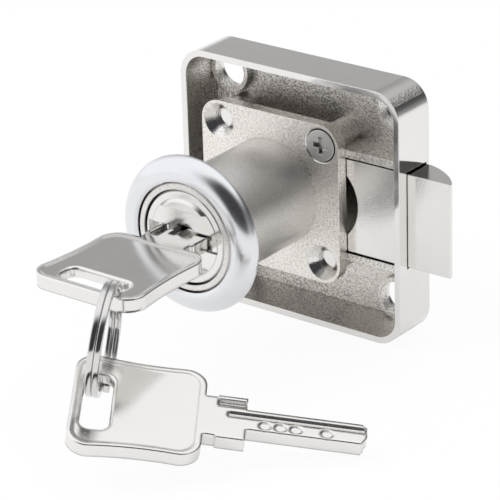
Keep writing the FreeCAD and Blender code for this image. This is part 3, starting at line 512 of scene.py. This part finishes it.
def wind(name, tree, inputs, material, turn, place, sizes):
    """A coil as a plain mesh: the tree is evaluated once, and the modifier goes."""
    shell = bpy.data.objects.new(name, bpy.data.meshes.new(name))
    bpy.context.scene.collection.objects.link(shell)
    modifier = shell.modifiers.new("coil", "NODES")
    modifier.node_group = tree
    settings = {"Turn": Euler(turn), "Place": tuple(place), "Material": material, **sizes}
    for label, setting in settings.items():
        modifier[inputs[label].identifier] = setting
    shell.update_tag()
    bpy.context.view_layer.update()
    mesh = bpy.data.meshes.new_from_object(shell.evaluated_get(bpy.context.evaluated_depsgraph_get()))
    shell.modifiers.remove(modifier)
    shell.data = mesh
    mesh.name = name
    return shell


class DRAWER_LOCK_OT_springs(bpy.types.Operator):
    """Winds the latch's spring and the five pin springs"""

    bl_idname = "drawer_lock.springs"
    bl_label = "Springs"

    def execute(self, context):
        coils = context.scene.lock_coils
        material = plated("spring_steel", context.scene.lock_finishes.steel, 0.22)
        tree, inputs = coil_tree("wound_wire", flat_wire=False)
        for node in ("bolt_spring",) + PIN_SPRINGS:
            low, high = (Vector(corner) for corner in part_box(node))
            along = 0 if node == "bolt_spring" else 2
            wire = coils.latch_wire if along == 0 else coils.pin_wire
            turns = float(coils.latch_turns) if along == 0 else PIN_SPRING_TURNS
            centre = (low + high) / 2
            centre[along] = low[along] + wire / 2
            radius = (high[1] - low[1] - wire) / 2
            turn = (0, math.pi / 2, 0) if along == 0 else (0, 0, 0)
            coil = wind(f"{node}_wire", tree, inputs, material, turn, centre,
                        {"Radius": radius, "Rise": high[along] - low[along] - wire, "Turns": turns,
                         "Wire Width": wire})
            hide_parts(node)
            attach(coil, "lock_body")
            if along == 0:
                travel = JOINTS["latch_slide"]["range_m"][1] + SPRING_CLEAR
                keep = 1 - travel / (high[0] - low[0])
                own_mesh(coil)
        return {"FINISHED"}


class DRAWER_LOCK_OT_split_ring(bpy.types.Operator):
    """Winds the two-turn split ring that carries the spare key"""

    bl_idname = "drawer_lock.split_ring"
    bl_label = "Split ring"

    def execute(self, context):
        coils = context.scene.lock_coils
        axis = -Vector(JOINTS["spare_travel"]["axis"]).normalized()
        ahead = axis.cross(Vector((0, 0, 1))).normalized()
        down = axis.cross(ahead)
        pitch = coils.ring_wide + RING_GAP
        turn = Matrix((down, -ahead, axis)).transposed().to_euler()
        centre = Vector(JOINTS["spare_travel"]["pos_m"])
        material = plated("ring_steel", context.scene.lock_finishes.steel, 0.12)
        tree, inputs = coil_tree("flat_wire", flat_wire=True)
        ring = wind("split_ring", tree, inputs, material, turn, centre - axis * pitch,
                    {"Radius": coils.ring_radius, "Rise": RING_TURNS * pitch, "Turns": float(RING_TURNS),
                     "Wire Width": coils.ring_wide, "Wire Depth": coils.ring_deep, "Edge Round": RING_EDGE})
        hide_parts("key_ring")
        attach(ring, "ring")
        return {"FINISHED"}


class DRAWER_LOCK_OT_stage(bpy.types.Operator):
    """Sets up the floor, the soft light and the camera"""

    bl_idname = "drawer_lock.stage"
    bl_label = "Stage"

    def execute(self, context):
        stage = context.scene.lock_stage
        self.lay_floor()
        self.light(stage)
        self.surround(context, stage)
        self.look(context, stage)
        context.scene.view_settings.view_transform = "Standard"
        return {"FINISHED"}

    def lay_floor(self):
        low = CAD_BOX[0][2] - 0.2 * MM
        mesh = bpy.data.meshes.new("floor")
        reach = 3.0
        corners = [(-reach, -reach, low), (reach, -reach, low), (reach, reach, low), (-reach, reach, low)]
        mesh.from_pydata(corners, [], [(0, 1, 2, 3)])
        floor = bpy.data.objects.new("floor", mesh)
        bpy.context.scene.collection.objects.link(floor)
        material = bpy.data.materials.new("floor_white")
        tree = Tree(material)
        paper = tree.node("ShaderNodeBsdfDiffuse", None, (0.86, 0.86, 0.86, 1))
        glow = tree.node("ShaderNodeEmission", None, (1, 1, 1, 1), 1.0)
        seen = tree.node("ShaderNodeLightPath")
        rays = seen.socket.node.outputs
        glossy, through = Value(tree, rays["Is Glossy Ray"]), Value(tree, rays["Is Transmission Ray"])
        far = tree.rise(tree.towards(tree.axes()[0], BACK_RIGHT), 0.2, 0.7)
        mask = (seen + through) * 0.94 + glossy * 0.65 * (1 - far)
        tree.node("ShaderNodeOutputMaterial", None, tree.node("ShaderNodeMixShader", None, mask, paper, glow))
        mesh.materials.append(material)

    def light(self, stage):
        for name, place, size, power in (
                ("soft_key", (-0.35, -0.35, 0.55), 0.35, stage.key_light),
                ("soft_fill", (0.55, -0.45, 0.25), 0.45, stage.key_light * 0.45),
                ("soft_top", (0.1, 0.35, 0.6), 0.3, stage.key_light * 0.35)):
            lamp = bpy.data.lights.new(name, "AREA")
            lamp.size = size
            lamp.energy = power
            holder = bpy.data.objects.new(name, lamp)
            bpy.context.scene.collection.objects.link(holder)
            holder.location = place
            holder.visible_glossy = False
            holder.rotation_euler = (Vector(place)).to_track_quat("Z", "Y").to_euler()

    def surround(self, context, stage):
        """A pale studio, bright on the left, dark low down on the right at the back and behind the camera."""
        world = bpy.data.worlds.new("studio")
        context.scene.world = world
        tree = Tree(world)
        way = tree.node("ShaderNodeTexCoord")
        height = tree.towards(way, (0, 0, 1)) * 0.5 + 0.5
        pale = self.shades(tree, height, (0.88, 0.56, 0.33, 0.36, 0.55, 0.92, 0.98))
        dark = self.shades(tree, height, (0.32, 0.10, 0.06, 0.14, 0.50, 0.92, 0.98))
        sky = tree.blend(tree.rise(tree.towards(way, BACK_RIGHT), 0.45, 0.88), pale, dark)
        sky = tree.blend(tree.rise(tree.towards(way, LEFT), 0.52, 0.88), sky, (0.95, 0.95, 0.97, 1))
        sky = tree.blend(tree.rise(tree.towards(way, CAMERA_BACK), 0.62, 0.88), sky, (0.045, 0.045, 0.05, 1))
        back = tree.node("ShaderNodeBackground", None, sky, stage.sky)
        tree.node("ShaderNodeOutputWorld", None, back)

    def shades(self, tree, height, levels):
        """Greys by height: at the horizon, then 13, 24, 33, 43, 51 and 90 degrees up."""
        places = (0.50, 0.61, 0.70, 0.77, 0.84, 0.89, 1.0)
        stops = [(place, (level, level, level * 1.01)) for place, level in zip(places, levels)]
        return tree.node("ShaderNodeValToRGB", {"stops": stops}, height)

    def look(self, context, stage):
        camera = bpy.data.cameras.new("photo_view")
        camera.lens = stage.lens
        camera.sensor_width = 36.0
        camera.clip_end = 10.0
        holder = bpy.data.objects.new("photo_view", camera)
        context.scene.collection.objects.link(holder)
        turn = Matrix((CAMERA_RIGHT, CAMERA_UP, CAMERA_BACK)).transposed().to_4x4()
        holder.matrix_world = Matrix.Translation(CAMERA_PLACE) @ turn
        context.scene.camera = holder


OPERATORS = (DRAWER_LOCK_OT_case, DRAWER_LOCK_OT_housing, DRAWER_LOCK_OT_rosette, DRAWER_LOCK_OT_plug,
             DRAWER_LOCK_OT_latch, DRAWER_LOCK_OT_cam, DRAWER_LOCK_OT_screws, DRAWER_LOCK_OT_pins,
             DRAWER_LOCK_OT_keys, DRAWER_LOCK_OT_springs, DRAWER_LOCK_OT_split_ring, DRAWER_LOCK_OT_stage)
GROUPS = {"lock_finishes": LockFinishes, "lock_coils": LockCoils, "lock_stage": LockStage}


class DRAWER_LOCK_PT_pieces(bpy.types.Panel):
    """Lists the lock's sizes, colours and operators"""

    bl_label = "Drawer Lock"
    bl_idname = "DRAWER_LOCK_PT_pieces"
    bl_space_type = "VIEW_3D"
    bl_region_type = "UI"
    bl_category = "Drawer Lock"

    def draw(self, context):
        layout = self.layout
        for name, group in GROUPS.items():
            box = layout.box()
            for key in group.__annotations__:
                box.prop(getattr(context.scene, name), key)
        for operator in OPERATORS:
            layout.operator(operator.bl_idname)


def register():
    for item in (*GROUPS.values(), *OPERATORS, DRAWER_LOCK_PT_pieces):
        bpy.utils.register_class(item)
    for name, group in GROUPS.items():
        setattr(bpy.types.Scene, name, PointerProperty(type=group))


def unregister():
    for name in GROUPS:
        delattr(bpy.types.Scene, name)
    for item in (DRAWER_LOCK_PT_pieces, *reversed(OPERATORS), *GROUPS.values()):
        bpy.utils.unregister_class(item)


def main():
    register()
    for operator in OPERATORS:
        group, name = operator.bl_idname.split(".")
        getattr(getattr(bpy.ops, group), name)()


if __name__ == "__main__":
    main()
